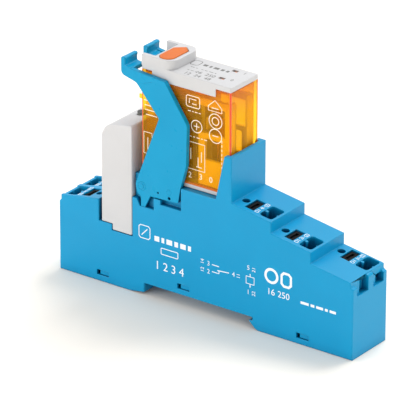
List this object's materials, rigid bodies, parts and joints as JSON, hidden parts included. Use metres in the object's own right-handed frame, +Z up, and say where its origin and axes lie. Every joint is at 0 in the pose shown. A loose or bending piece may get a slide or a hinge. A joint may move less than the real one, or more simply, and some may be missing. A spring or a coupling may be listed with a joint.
{
  "type": "plug-in relay",
  "caption": "Slim plug-in power relay with amber cover in a blue stepped DIN rail socket, held by a pivoting retaining clip, with push-in terminals and an indicator module.",
  "frame": {"origin": "middle of the socket's foot print, at the lowest face", "axes": "+X along the socket, from its coil end to its contact end; +Y across it; +Z up from the rail to the relay's test button"},
  "size_m": [0.097, 0.0158, 0.0698],
  "materials": {
    "socket_blue": "fine satin moulded texture",
    "clip_blue": "satin moulding",
    "latch_plastic": "satin moulding",
    "button_black": "fine matt moulding",
    "light_grey_plastic": "satin moulding",
    "amber_cover": "clear tinted polycarbonate, glossy",
    "button_orange": "smooth satin",
    "clear_lens": "clear",
    "green_lamp": "tinted clear",
    "circuit_board": "solder mask",
    "varistor_blue": "dipped epoxy",
    "resistor_body": "lacquered, banded",
    "bobbin_plastic": "glass-filled moulding",
    "coil_tape": "varnished copper wire",
    "magnet_iron": "plated soft iron",
    "spring_steel": "bright rolled strip",
    "busbar_copper": "rolled copper alloy strip",
    "contact_bronze": "rolled bronze leaf",
    "contact_silver": "turned silver alloy",
    "tinned_blade": "tin-plated strip",
    "carrier_plastic": "cream moulding",
    "flag_orange": "smooth moulding"
  },
  "bodies": {
    "socket": {"socket_housing": "socket_blue", "socket_base": "socket_blue", "din_latch_spring": "spring_steel", "clamp_spring_1": "spring_steel", "clamp_spring_2": "spring_steel", "clamp_spring_3": "spring_steel", "clamp_spring_4": "spring_steel", "clamp_spring_5": "spring_steel", "busbar_1": "busbar_copper", "busbar_2": "busbar_copper", "busbar_3": "busbar_copper", "busbar_4": "busbar_copper", "busbar_5": "busbar_copper"},
    "latch": {"din_latch": "latch_plastic"},
    "clip": {"retaining_clip": "clip_blue"},
    "module": {"module_housing": "light_grey_plastic", "module_base": "light_grey_plastic", "module_board": "circuit_board", "module_lens": "clear_lens", "module_lamp": "green_lamp", "suppressor_disc": "varistor_blue", "series_resistor": "resistor_body", "module_blades": "tinned_blade"},
    "relay": {"relay_base": "light_grey_plastic", "relay_cover": "amber_cover", "relay_cap": "light_grey_plastic", "coil_bobbin": "bobbin_plastic", "coil_winding": "coil_tape", "coil_core": "magnet_iron", "yoke": "magnet_iron", "coil_blades": "tinned_blade", "contact_carrier": "carrier_plastic", "common_blade": "tinned_blade", "fixed_contact_nc": "tinned_blade", "fixed_contact_no": "tinned_blade"},
    "test_key": {"test_button": "button_orange"},
    "armature_group": {"armature": "magnet_iron", "armature_spring": "spring_steel", "actuator_card": "carrier_plastic", "flag_indicator": "flag_orange"},
    "moving_contact": {"moving_contact_spring": "contact_bronze", "moving_contact_rivet": "contact_silver"},
    "release_1": {"release_button_1": "button_black"},
    "release_2": {"release_button_2": "button_black"},
    "release_3": {"release_button_3": "button_black"},
    "release_4": {"release_button_4": "button_black"},
    "release_5": {"release_button_5": "button_black"}
  },
  "joints": [
    {"name": "clip_release", "type": "hinge", "parent": "socket", "child": "clip", "pos_m": [-0.02055, 0, 0.032], "axis": [0, -1, 0], "range_deg": [0, 20]},
    {"name": "relay_unplug", "type": "slide", "parent": "socket", "child": "relay", "axis": [0, 0, 1], "range_m": [0, 0.009]},
    {"name": "module_unplug", "type": "slide", "parent": "socket", "child": "module", "axis": [0, 0, 1], "range_m": [0, 0.0055]},
    {"name": "latch_pull", "type": "slide", "parent": "socket", "child": "latch", "axis": [-1, 0, 0], "range_m": [0, 0.0022], "stiffness_N_per_m": 800, "springref_m": -0.0005},
    {"name": "test_press", "type": "slide", "parent": "relay", "child": "test_key", "axis": [0, 0, -1], "range_m": [0, 0.0012], "stiffness_N_per_m": 600, "springref_m": -0.0005},
    {"name": "armature_rock", "type": "hinge", "parent": "relay", "child": "armature_group", "pos_m": [-0.00415, 0, 0.05975], "axis": [0, -1, 0], "range_deg": [0, 3.45]},
    {"name": "contact_swing", "type": "hinge", "parent": "relay", "child": "moving_contact", "pos_m": [0.00055, 0, 0.03785], "axis": [0, 1, 0], "range_deg": [0, 1.8]},
    {"name": "release_1_press", "type": "slide", "parent": "socket", "child": "release_1", "axis": [-0.1564, 0, -0.9877], "range_m": [0, 0.0015], "stiffness_N_per_m": 1500, "springref_m": -0.0004},
    {"name": "release_2_press", "type": "slide", "parent": "socket", "child": "release_2", "axis": [-0.1564, 0, -0.9877], "range_m": [0, 0.0015], "stiffness_N_per_m": 1500, "springref_m": -0.0004},
    {"name": "release_3_press", "type": "slide", "parent": "socket", "child": "release_3", "axis": [-0.1564, 0, -0.9877], "range_m": [0, 0.0015], "stiffness_N_per_m": 1500, "springref_m": -0.0004},
    {"name": "release_4_press", "type": "slide", "parent": "socket", "child": "release_4", "axis": [0.1564, 0, -0.9877], "range_m": [0, 0.0015], "stiffness_N_per_m": 1500, "springref_m": -0.0004},
    {"name": "release_5_press", "type": "slide", "parent": "socket", "child": "release_5", "axis": [0.1564, 0, -0.9877], "range_m": [0, 0.0015], "stiffness_N_per_m": 1500, "springref_m": -0.0004}
  ],
  "couplings": [
    {"joint": "clip_release", "follows": "relay_unplug", "rad_per_m": 38.7},
    {"joint": "armature_rock", "follows": "test_press", "rad_per_m": 49.4},
    {"joint": "contact_swing", "follows": "test_press", "rad_per_m": 25.2}
  ]
}
